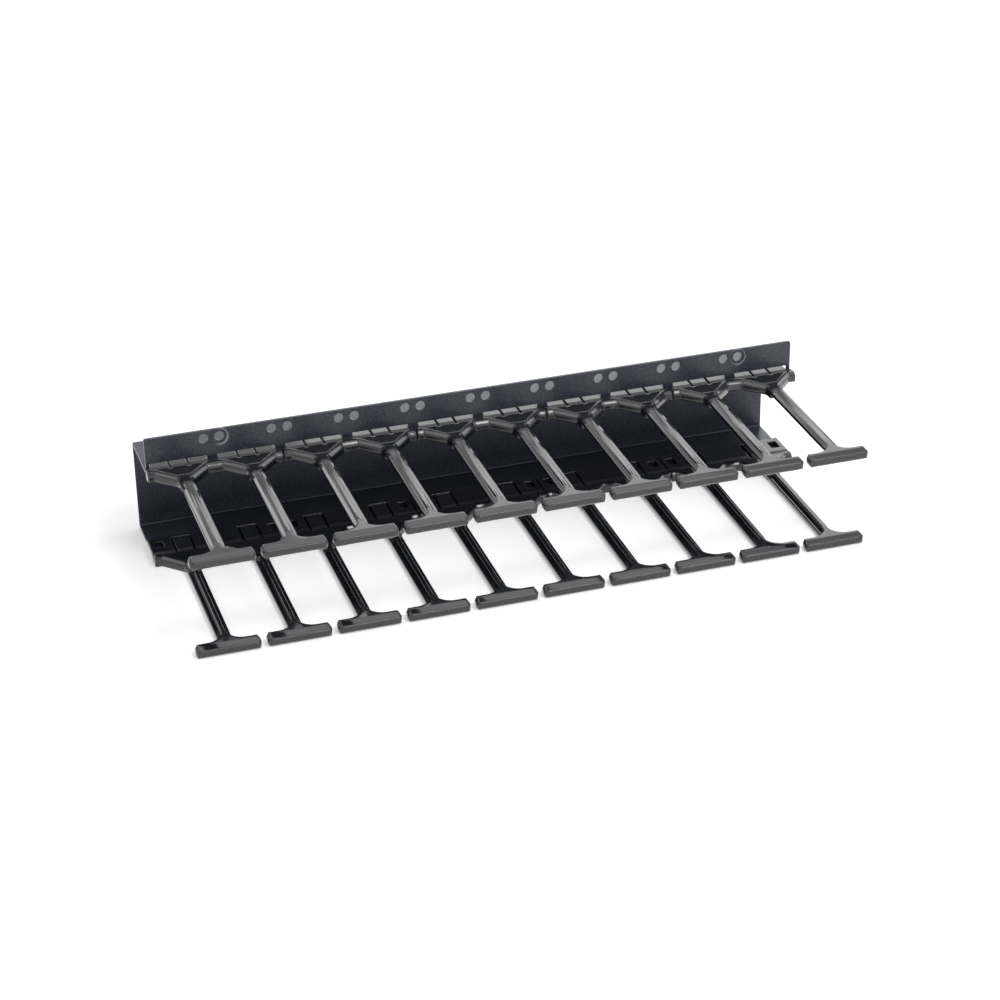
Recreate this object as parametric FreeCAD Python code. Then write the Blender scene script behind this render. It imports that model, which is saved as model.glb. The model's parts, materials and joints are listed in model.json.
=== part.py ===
import FreeCAD, Part
import os
from math import sin, tan

# A ten-unit section of a vertical cable manager, in millimetres.
# X runs along the rack, the fingers point to -Y and +Z is up.
# The origin is the centre of the bounding box's bottom.

# Overall sizes
DEPTH = 177.8
PITCH = 44.45
FINGERS = 10
FINGERS_PER_MOULDING = 2

# Folded channel
SHEET = 2.0
END_TRIM = 1.0
BEND_R = 0.8
CHANNEL_H = 63.5
STRIP_TO_BACK = 48.0
STRIP_RISE = 23.7
STRIP_CORNER_R = 1.5

# Holes in the drilled strip
HOLE_D = 6.5
HOLE_SPACING = 10.4
HOLE_BELOW_TOP = 5.6
COIN_D = 12.2
COIN_DEPTH = 0.6
COINED_PAIRS = (0, 8)

# Slots at the strip's foot
SLOT_LENGTH = 38.0
SLOT_RISE = 6.1
SLOT_INTO_FLANGE = 0.5

# Clearances between the mouldings, and between moulding and sheet
MOULDING_GAP = 0.8
SLIDE = 0.1
STRIP_GAP = 0.4
SLOT_GAP = 0.5
CATCH_GAP = 0.3

# Thickness of a moulding, and how far its underside lies below the flange's top face
MOULDING_H = 6.4
MOULDING_BELOW = 2.4

# Base of a moulding
RIM_DEPTH = 5.5
RIM_CHAMFER = 2.0
ARCH_TO_STRIP = 9.0
ARCH_DEPTH = 13.0
ARCH_FLAT = 9.6
ARCH_ROOT_R = 5.0
ROOT_STUB = 6.0

# Plate that lies on the flange
PLATE_T = 3.4
PLATE_REACH = 19.0
SCREW_SLOT_W = 6.0
SCREW_SLOT_L = 9.0
SCREW_SLOT_FROM_END = 6.2
SCREW_SLOT_FROM_BACK = 5.0

# Snap tongue in the plate
TONGUE_W = 10.5
TONGUE_CUT = 1.5
TONGUE_L = 19.5
TONGUE_FROM_BACK = 3.5
CATCH_W = 8.0
CATCH_L = 4.2
CATCH_FLAT = 1.5
CATCH_DEEP = 1.4

# Finger section
FINGER_W = 9.2
FINGER_EDGE = 2.6
FINGER_EDGE_CHAMFER = 0.4
CROWN_RISE = 1.0
CROWN_R = 12.0
RIB_W = 3.0
RIB_TIP_CHAMFER = 0.6

# T-head
HEAD_W = 40.8
HEAD_DEPTH = 7.6
HEAD_R = 3.0
HEAD_SLOPE = 5.3
HEAD_SLOPE_DROP = 1.0
HEAD_CHAMFER = 1.2
HEAD_END_CHAMFER = 1.6
FLARE_R = 11.0
FLARE_NECK = 0.5

# How far a cutting tool runs past the face it cuts
OVERRUN = 1.0

V = FreeCAD.Vector


# Positions that follow from the sizes
Y_FRONT = -DEPTH / 2
Y_BACK = DEPTH / 2
Y_STRIP = Y_BACK - STRIP_TO_BACK
Y_BLOCK = Y_STRIP - STRIP_GAP
Y_ARCH = Y_STRIP - ARCH_TO_STRIP
Y_ROOT = Y_ARCH - ARCH_DEPTH
Y_STUB = Y_ROOT - ROOT_STUB
Y_PLATE = Y_STRIP + PLATE_REACH
Y_SLOT = Y_STRIP + SHEET + BEND_R + SLOT_INTO_FLANGE
Y_HEAD_BACK = Y_FRONT + HEAD_DEPTH
Y_NECK = Y_HEAD_BACK + FLARE_R + FLARE_NECK
Y_TONGUE = Y_PLATE - TONGUE_FROM_BACK
Y_TONGUE_ROOT = Y_TONGUE - TONGUE_L
Z_LOWER = MOULDING_BELOW
Z_UPPER = Z_LOWER - SHEET + CHANNEL_H
Z_TOP = Z_UPPER + STRIP_RISE
MOULDINGS = FINGERS // FINGERS_PER_MOULDING
MOULDING_PITCH = PITCH * FINGERS_PER_MOULDING
MOULDING_L = MOULDING_PITCH - MOULDING_GAP
SHEET_LENGTH = FINGERS * PITCH - 2 * END_TRIM


def spread(count, step):
    """Positions of count things, one step apart, centred on zero."""
    return [(i - (count - 1) / 2) * step for i in range(count)]


def on_xy(u, v):
    return V(u, v, 0)


def on_yz(u, v):
    return V(0, u, v)


def on_xz(u, v):
    return V(u, 0, v)


def corner_arc(before, corner, after):
    """Start, middle and end of the arc that rounds one (u, v, r) corner."""
    here = V(corner[0], corner[1], 0)
    if corner[2] == 0:
        return here, None, here
    back = (V(before[0], before[1], 0) - here).normalize()
    ahead = (V(after[0], after[1], 0) - here).normalize()
    half = back.getAngle(ahead) / 2
    reach = corner[2] / tan(half)
    inward = (back + ahead).normalize()
    middle = here + inward * (corner[2] / sin(half) - corner[2])
    return here + back * reach, middle, here + ahead * reach


def outline(corners, plane):
    """Closed wire through (u, v, r) corners on a plane, each corner rounded by its r."""
    count = len(corners)
    arcs = [corner_arc(corners[i - 1], corners[i], corners[(i + 1) % count]) for i in range(count)]
    edges = []
    for i in range(count):
        start, middle, end = arcs[i]
        if middle is not None:
            a, b, c = [plane(p.x, p.y) for p in (start, middle, end)]
            edges.append(Part.Arc(a, b, c).toShape())
        following = arcs[(i + 1) % count][0]
        if (following - end).Length > SLIDE / 100:
            edges.append(Part.makeLine(plane(end.x, end.y), plane(following.x, following.y)))
    return Part.Wire(edges)


def prism(corners, plane, start, run):
    """Solid made by running an outline from a start offset along a vector."""
    face = Part.Face(outline(corners, plane))
    face.translate(start)
    return face.extrude(run)


def upright(corners, low, high):
    """Prism on the XY plane between two heights."""
    return prism(corners, on_xy, V(0, 0, low), V(0, 0, high - low))


def rectangle(x_mid, width, y_low, y_high):
    """Corners of a rectangle in plan."""
    left = x_mid - width / 2
    right = x_mid + width / 2
    return [(left, y_low, 0), (right, y_low, 0), (right, y_high, 0), (left, y_high, 0)]


def folded_profile(path, thickness, inner_r):
    """Corners of a sheet's cross-section that follows a path of (u, v) points with square bends."""
    steps = [V(b[0] - a[0], b[1] - a[1], 0).normalize() for a, b in zip(path, path[1:])]
    sides = [V(-d.y, d.x, 0) for d in steps]
    left = []
    right = []
    for i, point in enumerate(path):
        if 0 < i < len(path) - 1:
            shift = (sides[i - 1] + sides[i]) * (thickness / 2)
            turns_left = steps[i - 1].cross(steps[i]).z > 0
            radii = (inner_r, inner_r + thickness) if turns_left else (inner_r + thickness, inner_r)
        else:
            shift = sides[min(i, len(sides) - 1)] * (thickness / 2)
            radii = (0, 0)
        left.append((point[0] + shift.x, point[1] + shift.y, radii[0]))
        right.append((point[0] - shift.x, point[1] - shift.y, radii[1]))
    return right + left[::-1]


def make_bracket():
    """Folded channel with the drilled strip, its slots and the windows for the catches."""
    half = SHEET / 2
    path = [
        (Y_STRIP, Z_LOWER - half),
        (Y_BACK - half, Z_LOWER - half),
        (Y_BACK - half, Z_UPPER - half),
        (Y_STRIP + half, Z_UPPER - half),
        (Y_STRIP + half, Z_TOP),
    ]
    profile = folded_profile(path, SHEET, BEND_R)
    body = prism(profile, on_yz, V(-SHEET_LENGTH / 2, 0, 0), V(SHEET_LENGTH, 0, 0))
    corners = [e for e in body.Edges if e.BoundBox.ZMin > Z_TOP - STRIP_CORNER_R]
    corners = [e for e in corners if e.BoundBox.XLength < half]
    body = body.makeFillet(STRIP_CORNER_R, corners)
    through = V(0, SHEET + 2 * OVERRUN, 0)
    cuts = []
    for pair, x_pair in enumerate(spread(FINGERS - 1, PITCH)):
        for side in (-1, 1):
            centre = V(x_pair + side * HOLE_SPACING / 2, Y_STRIP, Z_TOP - HOLE_BELOW_TOP)
            cuts.append(Part.makeCylinder(HOLE_D / 2, through.y, centre - V(0, OVERRUN, 0), through))
            if side > 0 and pair in COINED_PAIRS:
                start = centre - V(0, OVERRUN, 0)
                cuts.append(Part.makeCylinder(COIN_D / 2, OVERRUN + COIN_DEPTH, start, through))
    y_window = Y_TONGUE - CATCH_L - CATCH_GAP
    y_window_end = Y_TONGUE + CATCH_GAP
    for x in spread(FINGERS, PITCH):
        slot = rectangle(x, SLOT_LENGTH, Y_STRIP - OVERRUN, Y_SLOT)
        cuts.append(upright(slot, Z_UPPER - SHEET - OVERRUN, Z_UPPER + SLOT_RISE))
        window = rectangle(x, CATCH_W + 2 * CATCH_GAP, y_window, y_window_end)
        for z in (Z_LOWER, Z_UPPER):
            cuts.append(upright(window, z - SHEET - OVERRUN, z + OVERRUN))
    return body.cut(cuts)


def finger_section(axis):
    """Corners of the T-section: gabled crown upwards, rib downwards."""
    side = FINGER_W / 2
    rib = RIB_W / 2
    ridge = MOULDING_H / 2
    eaves = ridge - CROWN_RISE
    under = eaves - FINGER_EDGE
    half = [
        (rib - RIB_TIP_CHAMFER, -ridge, 0),
        (rib, -ridge + RIB_TIP_CHAMFER, 0),
        (rib, under, 0),
        (side - FINGER_EDGE_CHAMFER, under, 0),
        (side, under + FINGER_EDGE_CHAMFER, 0),
        (side, eaves, 0),
    ]
    mirrored = [(-x, z, r) for x, z, r in half[::-1]]
    return [(x + axis, z, r) for x, z, r in half + [(0, ridge, CROWN_R)] + mirrored]


def make_finger(axis, crown):
    """One finger with its T-head, whose flare grows out of the rib; crown is +1 up or -1 down."""
    section = [(x, crown * z, r) for x, z, r in finger_section(axis)]
    y_beam = Y_HEAD_BACK - OVERRUN
    beam = prism(section, on_xz, V(0, y_beam, 0), V(0, Y_ROOT + OVERRUN - y_beam, 0))
    neck = RIB_W / 2
    reach = HEAD_W / 2
    half = [(reach, Y_FRONT, HEAD_R), (reach, Y_HEAD_BACK - HEAD_END_CHAMFER, 0)]
    half += [(reach - HEAD_END_CHAMFER, Y_HEAD_BACK, 0), (neck, Y_HEAD_BACK, FLARE_R), (neck, Y_NECK, 0)]
    mirrored = [(-x, y, r) for x, y, r in half[::-1]]
    plan = [(x + axis, y, r) for x, y, r in half + mirrored]
    top = MOULDING_H / 2
    side = [
        (Y_FRONT, HEAD_CHAMFER - top, 0),
        (Y_FRONT + HEAD_CHAMFER, -top, 0),
        (Y_NECK, -top, 0),
        (Y_NECK, top, 0),
        (Y_FRONT + HEAD_SLOPE, top, 0),
        (Y_FRONT, top - HEAD_SLOPE_DROP, 0),
    ]
    bar = prism(side, on_yz, V(axis - reach, 0, 0), V(HEAD_W, 0, 0))
    end = [(reach - HEAD_END_CHAMFER, top, 0), (reach, top - HEAD_END_CHAMFER, 0)]
    end += [(x, -z, 0) for x, z, r in end[::-1]]
    end += [(-x, z, 0) for x, z, r in end[::-1]]
    front = [(x + axis, z, 0) for x, z, r in end]
    blunt = prism(front, on_xz, V(0, Y_FRONT, 0), V(0, Y_NECK - Y_FRONT, 0))
    finger = beam.fuse(upright(plan, -top, top).common(bar).common(blunt))
    finger.translate(V(0, 0, top - MOULDING_BELOW))
    return finger


def arched_front():
    """Corners along the front of a moulding's base, from its left end to its right end."""
    end = MOULDING_L / 2
    neck = FINGER_W / 2
    to_flat = PITCH / 2 - ARCH_FLAT / 2
    corners = [(-end, Y_ARCH, 0)]
    for axis in spread(FINGERS_PER_MOULDING, PITCH):
        corners.append((axis - to_flat, Y_ARCH, 0))
        corners.append((axis - neck, Y_ROOT, ARCH_ROOT_R))
        corners.append((axis - neck, Y_STUB, 0))
        corners.append((axis + neck, Y_STUB, 0))
        corners.append((axis + neck, Y_ROOT, ARCH_ROOT_R))
        corners.append((axis + to_flat, Y_ARCH, 0))
    return corners + [(end, Y_ARCH, 0)]


def make_base():
    """Arched rim, shelf and plate; z = 0 is the flange's top face, which the plate lies on."""
    end = MOULDING_L / 2
    front = arched_front()
    top = MOULDING_H - MOULDING_BELOW
    body = upright(front + [(end, Y_PLATE, 0), (-end, Y_PLATE, 0)], -MOULDING_BELOW, top)
    edges = [e for e in body.Edges if e.BoundBox.ZMin > top - SLIDE and e.BoundBox.YMax < Y_ARCH + SLIDE]
    edges = [e for e in edges if e.BoundBox.YMax > Y_STUB + SLIDE]
    body = body.makeChamfer(RIM_CHAMFER, edges)
    over_flange = rectangle(0, MOULDING_L + 2 * OVERRUN, Y_BLOCK, Y_PLATE + OVERRUN)
    body = body.cut(upright(over_flange, -MOULDING_BELOW - OVERRUN, 0))
    behind = [(x, y + RIM_DEPTH, 0) for x, y, r in front[1:-1] if y > Y_STUB]
    y_past = Y_PLATE + OVERRUN
    shelf = [(-end - OVERRUN, behind[0][1], 0)] + behind
    shelf += [(end + OVERRUN, behind[-1][1], 0), (end + OVERRUN, y_past, 0), (-end - OVERRUN, y_past, 0)]
    return body.cut(upright(shelf, PLATE_T, top + OVERRUN))


def tongue_cut(axis):
    """The U-shaped cut that frees one snap tongue."""
    width = TONGUE_W + 2 * TONGUE_CUT
    back = Y_TONGUE + TONGUE_CUT
    outer = upright(rectangle(axis, width, Y_TONGUE_ROOT, back), 0, PLATE_T + OVERRUN)
    inner = rectangle(axis, TONGUE_W, Y_TONGUE_ROOT - OVERRUN, Y_TONGUE)
    return outer.cut(upright(inner, -OVERRUN, PLATE_T + 2 * OVERRUN))


def catch(axis):
    """The wedge under a snap tongue that drops into the flange's window."""
    nose = Y_TONGUE - CATCH_L
    wedge = [
        (nose, PLATE_T / 2, 0),
        (nose, -CATCH_DEEP, 0),
        (nose + CATCH_FLAT, -CATCH_DEEP, 0),
        (Y_TONGUE, 0, 0),
        (Y_TONGUE, PLATE_T / 2, 0),
    ]
    return prism(wedge, on_yz, V(axis - CATCH_W / 2, 0, 0), V(CATCH_W, 0, 0))


def make_moulding(crown):
    """One two-finger moulding centred on x = 0, its flange's top face at z = 0."""
    axes = spread(FINGERS_PER_MOULDING, PITCH)
    end = MOULDING_L / 2
    body = make_base()
    cuts = [tongue_cut(axis) for axis in axes]
    if crown > 0:
        tongue = SLOT_LENGTH - 2 * SLOT_GAP
        web = PITCH - tongue
        for x in spread(FINGERS_PER_MOULDING + 1, PITCH):
            clear = rectangle(x, web, Y_BLOCK, Y_PLATE + OVERRUN)
            cuts.append(upright(clear, -OVERRUN, MOULDING_H))
    else:
        y_slot = Y_PLATE - SCREW_SLOT_FROM_BACK
        for side in (-1, 1):
            x_slot = side * (end - SCREW_SLOT_FROM_END)
            opening = rectangle(x_slot, SCREW_SLOT_W, y_slot - SCREW_SLOT_L, y_slot)
            cuts.append(upright(opening, -OVERRUN, PLATE_T + OVERRUN))
    body = body.cut(cuts)
    body = body.fuse([make_finger(axis, crown) for axis in axes] + [catch(axis) for axis in axes])
    return body.removeSplitter()


def write(shape, node):
    """Write one node's STEP file."""
    solids = shape.Solids
    if len(solids) != 1 or not shape.isValid():
        raise ValueError("%s is not one valid solid" % node)
    solids[0].exportStep("parts/%s.step" % node)


os.makedirs("parts", exist_ok=True)
write(make_bracket(), "bracket")
for row, crown, height in (("lower", -1, Z_LOWER), ("upper", 1, Z_UPPER)):
    moulding = make_moulding(crown)
    for number, x in enumerate(spread(MOULDINGS, MOULDING_PITCH), 1):
        placed = moulding.copy()
        placed.translate(V(x, 0, height))
        write(placed, "%s_finger_pair_%d" % (row, number))
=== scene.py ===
# %% [markdown]
# A vertical cable manager guides patch leads down the side of a rack. This section is one
# folded steel channel with two rows of plastic fingers snapped on to it. It could be
# modelled again here, but every size is settled in the CAD frame. So the solids are loaded
# from there, and this script only gives them finishes, rounded edges and light.

# %% Load the frame
import json
import math

import bpy
import numpy as np
from mathutils import Matrix, Vector


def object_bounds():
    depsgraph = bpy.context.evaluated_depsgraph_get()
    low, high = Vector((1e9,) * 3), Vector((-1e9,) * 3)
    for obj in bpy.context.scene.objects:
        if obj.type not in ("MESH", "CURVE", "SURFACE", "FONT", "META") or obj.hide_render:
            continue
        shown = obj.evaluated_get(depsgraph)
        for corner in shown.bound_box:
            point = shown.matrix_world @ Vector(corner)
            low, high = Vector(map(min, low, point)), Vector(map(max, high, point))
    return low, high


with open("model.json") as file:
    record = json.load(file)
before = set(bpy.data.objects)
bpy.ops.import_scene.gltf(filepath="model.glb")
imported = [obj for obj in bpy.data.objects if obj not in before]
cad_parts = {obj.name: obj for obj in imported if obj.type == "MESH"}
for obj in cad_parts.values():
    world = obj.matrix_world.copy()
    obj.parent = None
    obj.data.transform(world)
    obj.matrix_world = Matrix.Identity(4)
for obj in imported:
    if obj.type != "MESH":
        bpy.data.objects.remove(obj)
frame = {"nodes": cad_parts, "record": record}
nodes = frame["nodes"]
cad_low, cad_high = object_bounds()
MM = 0.001
print("nodes:", len(nodes), "box in mm:", [round(v / MM, 1) for v in cad_high - cad_low])

# %% [markdown]
# The photograph was taken with a long lens from the front left, looking down. The eye
# and the angles were found by fitting a camera to the ends of the heads and to the
# strip's holes. Aiming the camera with a constraint would lose the slight roll, so its
# axes are set as columns of a matrix. A camera looks along its own -Z.

# %% Camera
EYE = Vector((-452.95, -1447.71, 838.05)) * MM
AZIMUTH, ELEVATION, ROLL = (math.radians(a) for a in (17.412, 28.161, -0.921))
LENS, SENSOR = 95.173, 36.0
SEE_TO = 20.0


def look_axes(azimuth, elevation, roll):
    """Right, up and forward of a view turned to azimuth, dipped by elevation, then rolled."""
    forward = Vector((math.sin(azimuth) * math.cos(elevation), math.cos(azimuth) * math.cos(elevation),
                      -math.sin(elevation)))
    level = Vector((math.cos(azimuth), -math.sin(azimuth), 0.0))
    upright = level.cross(forward)
    right = level * math.cos(roll) + upright * math.sin(roll)
    return right, right.cross(forward), forward


right, up, forward = look_axes(AZIMUTH, ELEVATION, ROLL)
camera_data = bpy.data.cameras.new("camera")
camera_data.lens = LENS
camera_data.sensor_width = SENSOR
camera_data.clip_end = SEE_TO
camera = bpy.data.objects.new("camera", camera_data)
camera.matrix_world = Matrix((right, up, -forward)).transposed().to_4x4()
camera.location = EYE
bpy.context.scene.collection.objects.link(camera)
bpy.context.scene.camera = camera
print("camera looks along", [round(v, 3) for v in forward])

# %% [markdown]
# A material is a small graph of nodes. Wiring each graph by hand would repeat the same
# lines, so short helpers do it. The first one starts a material with plain values on the
# shader's own sockets, and hands out the object's own coordinates. Every pattern sits on
# those, so that it stays put from every side.

# %% Start a material
def start_material(name, **sockets):
    """New material whose Principled shader has the given socket values, and its Object coordinates."""
    material = bpy.data.materials.new(name)
    material.use_nodes = True
    tree = material.node_tree
    shader = tree.nodes["Principled BSDF"]
    for socket, value in sockets.items():
        shader.inputs[socket.replace("_", " ")].default_value = value
    place = tree.nodes.new("ShaderNodeTexCoord").outputs["Object"]
    return material, tree, shader, place


# %% [markdown]
# Neither finish is one even colour or one even gloss. Painted images could hold the
# difference, but they would show their pixels up close. Noise has none, and a ramp turns
# its values into the tones between a few chosen stops.

# %% Noise and ramp
def noise(tree, place, scale, detail=2.0, roughness=0.5):
    """Noise texture on the object's coordinates; scale is features per metre."""
    node = tree.nodes.new("ShaderNodeTexNoise")
    node.inputs["Scale"].default_value = scale
    node.inputs["Detail"].default_value = detail
    node.inputs["Roughness"].default_value = roughness
    tree.links.new(place, node.inputs["Vector"])
    return node.outputs["Fac"]


def grey(level):
    """The same level in red, green and blue."""
    return level, level, level


def ramp(tree, value, stops):
    """Colour ramp through (position, colour) stops."""
    node = tree.nodes.new("ShaderNodeValToRGB")
    elements = node.color_ramp.elements
    while len(elements) < len(stops):
        elements.new(0.5)
    for element, (position, colour) in zip(elements, stops):
        element.position = position
        element.color = (*colour, 1.0)
    tree.links.new(value, node.inputs["Fac"])
    return node.outputs["Color"]


# %% [markdown]
# The feel of a coat or a moulding is in very small heights. Real ones would need millions
# of faces, so a bump tilts the normals instead. It starts from a Bevel node's normals,
# which turn smoothly near an edge, so that an edge also looks rounder than its faces are.

# %% Bump and soft edges
EDGE_SAMPLES = 8


def feed(tree, value, socket):
    """Links another node's output to a socket, or sets a plain number on it."""
    if isinstance(value, bpy.types.NodeSocket):
        tree.links.new(value, socket)
    else:
        socket.default_value = value


def bump(tree, shader, height, distance, strength, soft_edge):
    """Bump from a height value over normals that turn smoothly within soft_edge of an edge."""
    edge = tree.nodes.new("ShaderNodeBevel")
    edge.samples = EDGE_SAMPLES
    feed(tree, soft_edge, edge.inputs["Radius"])
    node = tree.nodes.new("ShaderNodeBump")
    node.inputs["Distance"].default_value = distance
    node.inputs["Strength"].default_value = strength
    tree.links.new(edge.outputs["Normal"], node.inputs["Normal"])
    tree.links.new(height, node.inputs["Height"])
    tree.links.new(node.outputs["Normal"], shader.inputs["Normal"])


# %% [markdown]
# A mask says where on the object a finish changes. It could be painted, but a painted mask
# needs an image, so masks are built from small sums on the coordinates. A value is faded
# from one level to another over a stretch, and a mix then goes from one colour to another.

# %% Mask helpers
def calculate(tree, operation, *values):
    """Math node on values that are either plain numbers or other nodes' outputs."""
    node = tree.nodes.new("ShaderNodeMath")
    node.operation = operation
    for socket, value in zip(node.inputs, values):
        feed(tree, value, socket)
    return node.outputs[0]


def split(tree, place):
    """The X, Y and Z of the coordinates as three values."""
    node = tree.nodes.new("ShaderNodeSeparateXYZ")
    tree.links.new(place, node.inputs[0])
    return node.outputs["X"], node.outputs["Y"], node.outputs["Z"]


def fade(tree, value, low, high, start=0.0, end=1.0):
    """start where the value is low, end where it is high, clamped outside; low may be larger."""
    node = tree.nodes.new("ShaderNodeMapRange")
    for socket, number in (("From Min", low), ("From Max", high), ("To Min", start), ("To Max", end)):
        node.inputs[socket].default_value = number
    tree.links.new(value, node.inputs["Value"])
    return node.outputs["Result"]


def blend(tree, mask, first, second):
    """Colour mix: first where the mask is 0, second where it is 1."""
    node = tree.nodes.new("ShaderNodeMix")
    node.data_type = "RGBA"
    tree.links.new(mask, node.inputs["Factor"])
    tree.links.new(first, node.inputs["A"])
    node.inputs["B"].default_value = (*second, 1.0)
    return node.outputs["Result"]


# %% [markdown]
# Two holes of the strip have a light ring, a highlight where the edge of their recess
# catches the light. It is painted: a mask lightens the coat's colour there. The frame's
# record holds the holes' places, so the rings follow them.

# %% Painted highlight rings
RING_R = 5.6 * MM
RING_CORE = 0.3  # share of a ring's width at the full painted highlight colour
# Colour of the painted highlight on the rings around two strip holes.
HIGHLIGHT_TONE = (0.26, 0.27, 0.28)
mounts = {mount["name"]: mount for mount in frame["record"]["mounts"]}


def right_hole(name):
    """Centre of the right-hand hole of a pair: the pair's own centre plus half its spacing."""
    centre = Vector(mounts[name]["pos_m"])
    centre.x += mounts[name]["dims"]["spacing_x_mm"] / 2 * MM
    return centre


def painted_ring_mask(tree, place, centre, width, side):
    """Painted highlight: points in front whose distance from the centre is within width of RING_R.

    The ring is whole from side radii right of the centre, and gone one radius further left.
    """
    x, y, z = split(tree, place)
    across = calculate(tree, "SUBTRACT", x, centre.x)
    above = calculate(tree, "SUBTRACT", z, centre.z)
    square = calculate(tree, "ADD", calculate(tree, "MULTIPLY", across, across),
                       calculate(tree, "MULTIPLY", above, above))
    off = calculate(tree, "ABSOLUTE", calculate(tree, "SUBTRACT", calculate(tree, "SQRT", square), RING_R))
    band = fade(tree, off, width, RING_CORE * width)
    right_part = fade(tree, across, RING_R * (side - 1.0), RING_R * side)
    front = calculate(tree, "LESS_THAN", y, centre.y)
    return calculate(tree, "MULTIPLY", calculate(tree, "MULTIPLY", band, right_part), front)


# Painted highlight rings: centre, width and the side on which each ring is whole.
PAINTED_RINGS = ((right_hole("strip_holes_1"), 0.9 * MM, 0.45), (right_hole("strip_holes_9"), 0.5 * MM, 0.0))
print("painted highlight rings at x in mm:", [round(centre.x / MM, 1) for centre, width, side in PAINTED_RINGS])

# %% [markdown]
# The channel is powder coated. The powder melts into a fine orange peel, so the black is
# never flat: it is a blue-grey black with tiny lighter specks and a soft, broken gloss. One
# plain dark colour would look like paper. One noise gives the specks and a coarser one the
# peel, because the two don't line up on the real coat.

# %% Powder coat
SPECKS = dict(scale=1500.0, detail=3.0, roughness=0.6)
COAT_TONES = [(0.34, (0.008, 0.010, 0.020)), (0.56, (0.019, 0.024, 0.041)), (0.70, (0.080, 0.090, 0.120))]
PATCH_SCALE = 60.0
COAT_GLOSS = [(0.3, grey(0.30)), (0.7, grey(0.38))]
PEEL = dict(scale=900.0, detail=4.0, roughness=0.65)
PEEL_DEPTH, PEEL_STRENGTH = 0.3 * MM, 0.30
COAT_SOFT = 0.3 * MM


def powder_coat():
    """Blue-black coat: fine specks in the colour, patches in the gloss, peel in the bump, painted highlight
    rings.
    """
    material, tree, shader, place = start_material("powder_coat", Specular_IOR_Level=0.5)
    colour = ramp(tree, noise(tree, place, **SPECKS), COAT_TONES)
    # Paints the highlight rings into the coat's colour.
    for ring in PAINTED_RINGS:
        colour = blend(tree, painted_ring_mask(tree, place, *ring), colour, HIGHLIGHT_TONE)
    tree.links.new(colour, shader.inputs["Base Color"])
    tree.links.new(ramp(tree, noise(tree, place, PATCH_SCALE), COAT_GLOSS), shader.inputs["Roughness"])
    bump(tree, shader, noise(tree, place, **PEEL), PEEL_DEPTH, PEEL_STRENGTH, COAT_SOFT)
    return material


coat = powder_coat()
print("powder coat:", len(coat.node_tree.nodes), "nodes")

# %% [markdown]
# The fingers are injection moulded in black plastic from a polished tool. They shine, but
# the skin still waves a little where the plastic shrank, which bends the reflections. A
# perfect mirror would look like lacquer. The waves run along the fingers, the way the
# plastic flowed, so their noise is stretched. The shelf behind the rim is duller. The heads
# and the rim are rounded like beads and the fingers have crisper edges, so the width of the
# soft edge depends on the place.

# %% Moulded plastic
TONE_SCALE = 45.0
PLASTIC_TONES = [(0.3, (0.008, 0.009, 0.012)), (0.7, (0.012, 0.013, 0.016))]
FLOW = (1.0, 0.08, 1.0)
HANDLING = dict(scale=130.0, detail=3.0)
PLASTIC_GLOSS = [(0.3, grey(0.05)), (0.75, grey(0.11))]
SHELF_GLOSS = grey(0.6)
WAVES = dict(scale=70.0, detail=1.0)
WAVE_DEPTH, WAVE_STRENGTH = 0.6 * MM, 0.02
SHELF_FRONT = (36.6 * MM, 37.6 * MM)
SHELF_BACK = (41.4 * MM, 40.9 * MM)
HEAD_FROM = (-70.0 * MM, -76.0 * MM)
RIM_FROM = (8.0 * MM, 13.0 * MM)
BEAD_SOFT, FINGER_SOFT = 2.4 * MM, 1.0 * MM


def stretched(tree, place, factors):
    """The same coordinates times one factor per axis, so that a pattern runs along an axis."""
    node = tree.nodes.new("ShaderNodeVectorMath")
    node.operation = "MULTIPLY"
    node.inputs[1].default_value = factors
    tree.links.new(place, node.inputs[0])
    return node.outputs["Vector"]


def moulded_plastic():
    """Glossy black: a trace of handling in the gloss, slow waves in the bump, soft edges by place."""
    material, tree, shader, place = start_material("moulded_plastic", IOR=1.57)
    tree.links.new(ramp(tree, noise(tree, place, TONE_SCALE), PLASTIC_TONES), shader.inputs["Base Color"])
    flow = stretched(tree, place, FLOW)
    gloss = ramp(tree, noise(tree, flow, **HANDLING), PLASTIC_GLOSS)
    along = split(tree, place)[1]
    behind_rim = fade(tree, along, *SHELF_FRONT)
    shelf = calculate(tree, "MULTIPLY", behind_rim, fade(tree, along, *SHELF_BACK))
    tree.links.new(blend(tree, shelf, gloss, SHELF_GLOSS), shader.inputs["Roughness"])
    on_rim = calculate(tree, "SUBTRACT", fade(tree, along, *RIM_FROM), behind_rim)
    bead = calculate(tree, "MAXIMUM", fade(tree, along, *HEAD_FROM), on_rim)
    soft = calculate(tree, "MULTIPLY_ADD", bead, BEAD_SOFT - FINGER_SOFT, FINGER_SOFT)
    bump(tree, shader, noise(tree, flow, **WAVES), WAVE_DEPTH, WAVE_STRENGTH, soft)
    return material


plastic = moulded_plastic()
print("moulded plastic:", len(plastic.node_tree.nodes), "nodes")

# %% [markdown]
# The channel gets the coat and every moulding the plastic. The pieces could be listed here
# one by one, but the frame's record already says which finish each of them has.

# %% Finish the pieces
finishes = {"powder_coated_steel": coat, "black_plastic": plastic}
slots = {entry["node"]: entry["material_slot"] for entry in frame["record"]["subparts"]}
for name, slot in slots.items():
    nodes[name].data.materials.clear()
    nodes[name].data.materials.append(finishes[slot])
print("finished:", len(slots), "pieces with", [material.name for material in finishes.values()])

# %% [markdown]
# No real edge is a perfect corner: a mould and a press both leave a small radius, and that
# radius is what catches the light. Fillets on every edge would make the CAD solids heavy,
# so modifiers add them here. A CAD mesh is loose triangles: the modifiers first weld it,
# then join flat triangles, and only then round the edges that turn sharply.

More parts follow.
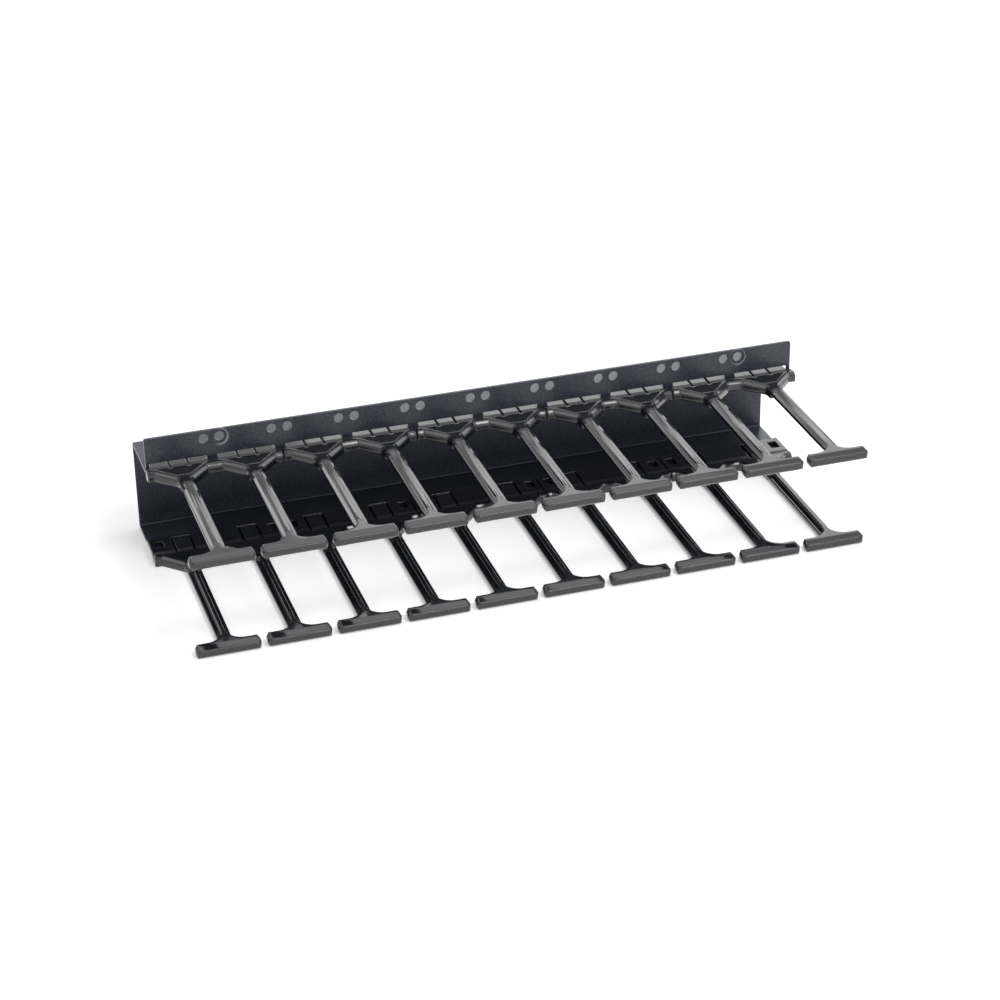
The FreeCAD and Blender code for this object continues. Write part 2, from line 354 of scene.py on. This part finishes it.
# %% Rounded edges
EDGE_R = {"powder_coated_steel": 0.25 * MM, "black_plastic": 0.22 * MM}
EDGE_SEGMENTS = 2
WELD = 0.002 * MM
FLAT = math.radians(1.0)
SHARP = math.radians(32.0)


def round_edges(node, radius):
    """Weld, join flat faces, then bevel every edge sharper than SHARP."""
    weld = node.modifiers.new("weld", "WELD")
    weld.merge_threshold = WELD
    flat = node.modifiers.new("flat", "DECIMATE")
    flat.decimate_type = "DISSOLVE"
    flat.angle_limit = FLAT
    edge = node.modifiers.new("edge", "BEVEL")
    edge.width = radius
    edge.segments = EDGE_SEGMENTS
    edge.limit_method = "ANGLE"
    edge.angle_limit = SHARP
    edge.harden_normals = True
    edge.use_clamp_overlap = False  # one short edge on an arc would shrink every radius


for name, slot in slots.items():
    round_edges(nodes[name], EDGE_R[slot])
print("edges rounded on", len(slots), "pieces")

# %% [markdown]
# The object stands on a plain pale floor. Enough lamps to make the floor white would also
# wash out the object, so the floor has a little light of its own for rays that show the
# background. The camera sees it fade to white far from the object, so that it joins the
# background from every side, while the shadow under the object stays.

# %% Floor finish
PALE = (0.90, 0.90, 0.90, 1.0)
WHITE = (1.0, 1.0, 1.0, 1.0)
FLOOR_SEEN = 0.34
FLOOR_MIRRORED = 0.65
FADE_FROM, FADE_TO = 0.45, 1.6


def floor_material():
    """Matt floor that glows where it is seen, more with distance, and evenly in reflections."""
    material, tree, shader, place = start_material(
        "floor", Base_Color=PALE, Roughness=0.9, Specular_IOR_Level=0.0, Emission_Color=WHITE)
    away = tree.nodes.new("ShaderNodeVectorMath")
    away.operation = "LENGTH"
    tree.links.new(place, away.inputs[0])
    level = fade(tree, away.outputs["Value"], FADE_FROM, FADE_TO, FLOOR_SEEN, 1.0)
    path = tree.nodes.new("ShaderNodeLightPath")
    straight = calculate(tree, "MAXIMUM", path.outputs["Is Camera Ray"], path.outputs["Is Transmission Ray"])
    seen = calculate(tree, "MULTIPLY", straight, level)
    mirrored = calculate(tree, "MULTIPLY", path.outputs["Is Glossy Ray"], FLOOR_MIRRORED)
    tree.links.new(calculate(tree, "MAXIMUM", seen, mirrored), shader.inputs["Emission Strength"])
    return material


pale_floor = floor_material()
print("floor finish:", len(pale_floor.node_tree.nodes), "nodes")

# %% [markdown]
# The floor itself is one flat square at the object's lowest point. A plane from Blender's
# own menu would do as well, but the same numpy grid serves any surface, so it is used here.

# %% Floor
FLOOR_SIZE = 12.0


def floor_mesh(half, z):
    """Flat grid: x and y run over two parameters from -half to half, at one height."""
    u, v = np.meshgrid(np.linspace(-half, half, 2), np.linspace(-half, half, 2))
    points = np.stack([u, v, np.full_like(u, z)], axis=-1).reshape(-1, 3)
    mesh = bpy.data.meshes.new("floor")
    mesh.from_pydata(points.tolist(), [], [(0, 1, 3, 2)])
    return mesh


floor = bpy.data.objects.new("floor", floor_mesh(FLOOR_SIZE / 2, cad_low.z))
floor.data.materials.append(pale_floor)
bpy.context.scene.collection.objects.link(floor)
print("floor at", round(cad_low.z / MM, 2), "mm")

# %% [markdown]
# Around the stage is a white studio. One plain white world would light the black object
# from all sides and flatten it. So the world is white only where it is seen: by the camera,
# through anything clear and in reflections. As a source of light it is much softer, so that
# the lamps shape the object.

# %% World
WORLD_LIGHT = 0.20
world = bpy.data.worlds.new("studio")
world.use_nodes = True
world_tree = world.node_tree
background = world_tree.nodes["Background"]
background.inputs["Color"].default_value = WHITE
path = world_tree.nodes.new("ShaderNodeLightPath")
shown = calculate(world_tree, "MAXIMUM", path.outputs["Is Camera Ray"], path.outputs["Is Transmission Ray"])
shown = calculate(world_tree, "MAXIMUM", shown, path.outputs["Is Glossy Ray"])
strength = fade(world_tree, shown, 0.0, 1.0, WORLD_LIGHT, 1.0)
world_tree.links.new(strength, background.inputs["Strength"])
bpy.context.scene.world = world
print("world lights at", WORLD_LIGHT)

# %% [markdown]
# Glossy black shows its lamps more than its colour. Small bare lamps would only make hot
# dots, so each lamp is a soft box, placed where one kind of face mirrors it. The back pair
# shows in the fingers' crowns and in the plates in the slots, the high front one makes the
# line along the heads, and the others fill the strip, the channel and the floor.

# %% Lamps
TARGET = Vector((0.0, 0.0, 0.04))


def softbox(name, place, size, watts):
    """Rectangular area lamp at place, aimed at the object; place and size in metres."""
    data = bpy.data.lights.new(name, "AREA")
    data.shape = "RECTANGLE"
    data.size, data.size_y = size
    data.energy = watts
    lamp = bpy.data.objects.new(name, data)
    lamp.location = place
    lamp.rotation_euler = (TARGET - Vector(place)).to_track_quat("-Z", "Y").to_euler()
    bpy.context.scene.collection.objects.link(lamp)


softbox("left", (-1.40, -0.10, 1.75), (1.2, 1.2), 7.5)
softbox("right", (1.80, 0.45, 0.90), (1.4, 1.0), 8.8)
softbox("back_right", (0.86, 1.90, 0.88), (1.08, 1.0), 4.8)
softbox("back_left", (-0.29, 1.82, 1.26), (0.39, 0.62), 2.1)
softbox("overhead", (0.50, 0.25, 1.90), (2.8, 1.6), 13.0)
softbox("front_high", (0.55, -1.00, 1.75), (0.9, 0.5), 16.5)
softbox("front_low", (0.40, -2.00, 0.70), (1.8, 0.9), 9.0)
print("lamps:", len(bpy.data.lights))

# %% [markdown]
# Blender's usual view transform is made for film-like pictures and shifts the colours, so
# the plain Standard one is set: in it a colour looks as it is written.

# %% Finish
bpy.context.scene.view_settings.view_transform = "Standard"
